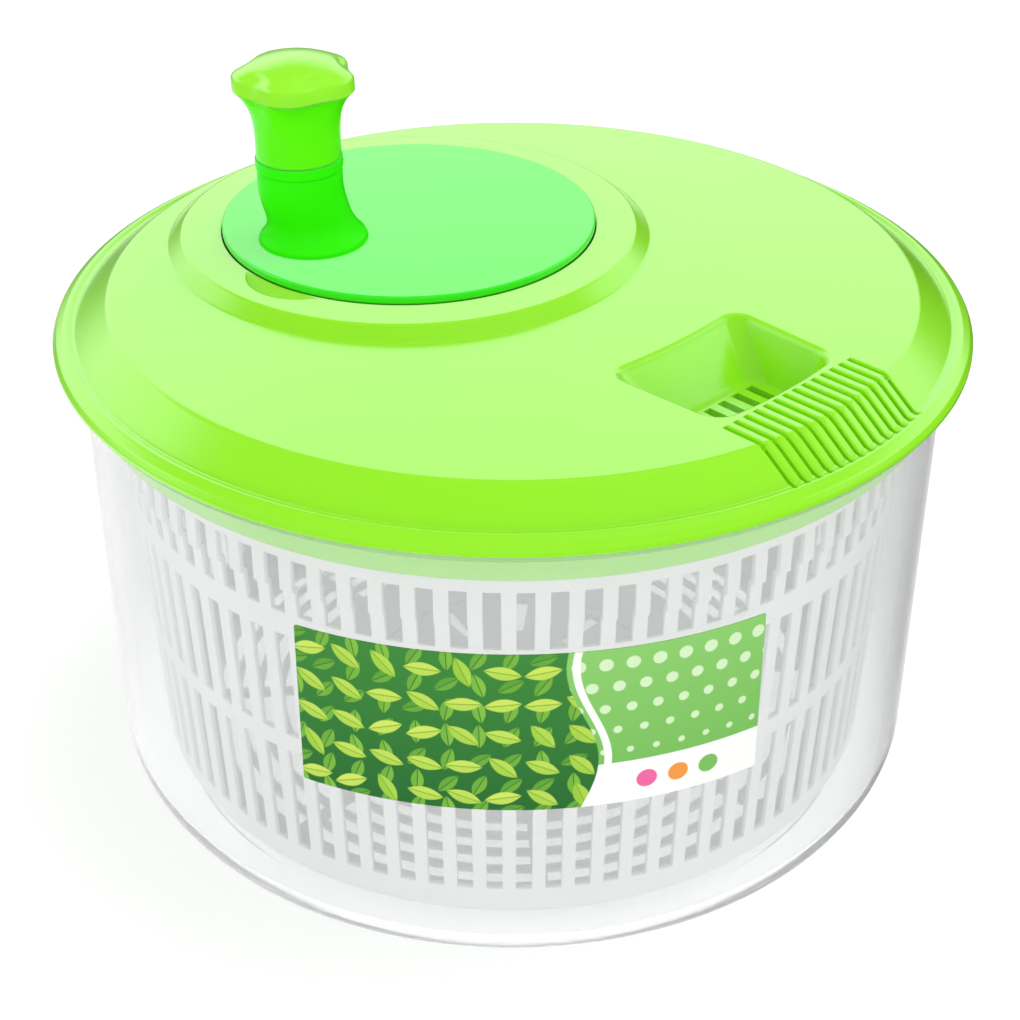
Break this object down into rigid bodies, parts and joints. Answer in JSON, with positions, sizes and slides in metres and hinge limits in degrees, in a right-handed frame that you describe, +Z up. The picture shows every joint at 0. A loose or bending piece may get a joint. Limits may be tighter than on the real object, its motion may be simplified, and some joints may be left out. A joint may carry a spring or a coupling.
{
  "type": "salad_spinner",
  "caption": "Salad spinner with a clear frosted bowl, a white slotted basket and a lime green lid with a geared crank disc and knob",
  "frame": {"origin": "The middle of the bowl's foot ring, on the table under the spinner's own vertical axis.", "axes": "+Z is up. The crank disc stands off the centre towards +Y. The funnel and the pouring comb of the lid lie across from it, 4.6 degrees round from -Y towards -X."},
  "size_m": [0.242, 0.242, 0.1972],
  "materials": {
    "clear_plastic": "gloss",
    "label_film": "satin",
    "white_plastic": "satin",
    "lime_plastic": "gloss",
    "lime_cap_plastic": "gloss",
    "mint_plastic": "gloss",
    "gear_plastic": "satin",
    "screw_steel": "plain"
  },
  "bodies": {
    "vessel": {"bowl": "clear_plastic", "label_sticker": "label_film"},
    "basket_body": {"basket": "white_plastic"},
    "lid_body": {"lid": "lime_plastic", "gear_cover": "white_plastic", "crank_bush": "gear_plastic", "pinion_bush": "gear_plastic", "cover_screw_1": "screw_steel", "cover_screw_2": "screw_steel", "cover_screw_3": "screw_steel", "cover_screw_4": "screw_steel"},
    "crank_body": {"crank_disc": "mint_plastic", "ring_gear": "gear_plastic", "crank_washer": "screw_steel", "crank_screw": "screw_steel", "knob_washer": "screw_steel", "knob_screw": "screw_steel"},
    "knob_body": {"knob_sleeve": "mint_plastic", "knob_cap": "lime_cap_plastic"},
    "drive_body": {"pinion": "gear_plastic", "drive_plate": "white_plastic", "drive_washer": "screw_steel", "drive_screw": "screw_steel"}
  },
  "joints": [
    {"name": "basket_spin", "type": "hinge", "parent": "vessel", "child": "basket_body", "pos_m": [0, 0, 0.01], "axis": [0, 0, 1], "continuous": true},
    {"name": "lid_lift", "type": "slide", "parent": "vessel", "child": "lid_body", "axis": [0, 0, 1], "range_m": [0, 0.16]},
    {"name": "crank_turn", "type": "hinge", "parent": "lid_body", "child": "crank_body", "pos_m": [0, 0.0375, 0.14], "axis": [0, 0, 1], "continuous": true},
    {"name": "knob_spin", "type": "hinge", "parent": "crank_body", "child": "knob_body", "pos_m": [-0.03026, 0.04792, 0.179], "axis": [0, 0, 1], "continuous": true},
    {"name": "drive_spin", "type": "hinge", "parent": "lid_body", "child": "drive_body", "pos_m": [0, 0, 0.13], "axis": [0, 0, 1], "continuous": true}
  ],
  "couplings": [
    {"joint": "crank_turn", "follows": "basket_spin", "ratio": 0.2},
    {"joint": "drive_spin", "follows": "basket_spin", "ratio": 1}
  ]
}
